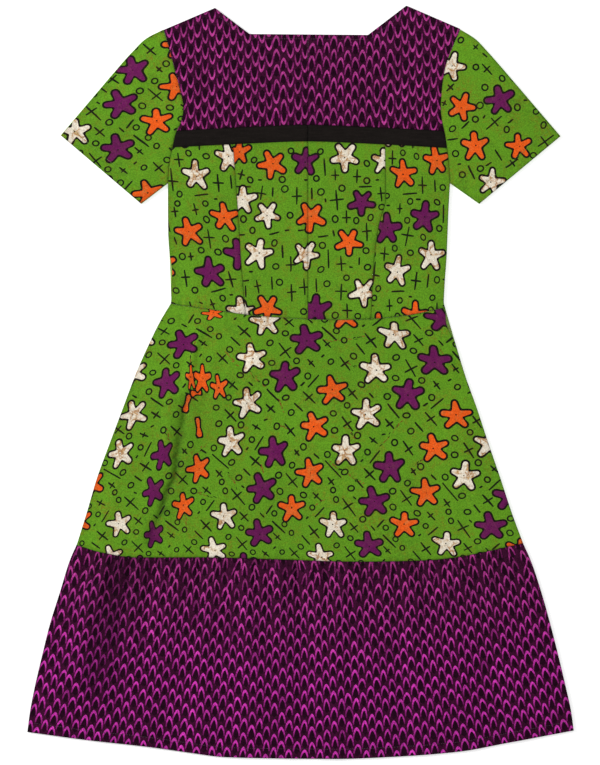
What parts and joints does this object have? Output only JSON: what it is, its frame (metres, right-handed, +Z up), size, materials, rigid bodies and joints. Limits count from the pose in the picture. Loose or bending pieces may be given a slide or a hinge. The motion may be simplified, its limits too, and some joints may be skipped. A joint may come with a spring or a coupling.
{
  "type": "a-line dress",
  "caption": "Short-sleeved a-line dress laid flat on its front, with a patterned yoke, a plain band, a star-print bodice and skirt, and a gathered flounce.",
  "frame": {"origin": "middle of the bounding box, on the surface that the dress lies on", "axes": "+X across the dress to the viewer's right when its back is seen from above, +Y from the hem to the neck, +Z up from the surface it lies on"},
  "size_m": [0.7262, 1.0014, 0.0056],
  "materials": {
    "green_print": "cotton with a star print, matt",
    "purple_print": "cotton with an arch print, matt",
    "black_band": "plain black cotton tape, matt"
  },
  "bodies": {
    "root": {"back_yoke_left": "purple_print", "back_yoke_right": "purple_print", "back_band_left": "black_band", "back_band_right": "black_band", "back_bodice_side_left": "green_print", "back_bodice_centre_left": "green_print", "back_bodice_centre_right": "green_print", "back_bodice_side_right": "green_print", "back_skirt": "green_print", "back_flounce": "purple_print", "sleeve_left": "green_print", "sleeve_right": "green_print", "front_yoke": "purple_print", "front_band": "black_band", "front_bodice": "green_print", "front_skirt": "green_print", "front_flounce": "purple_print"}
  },
  "joints": []
}
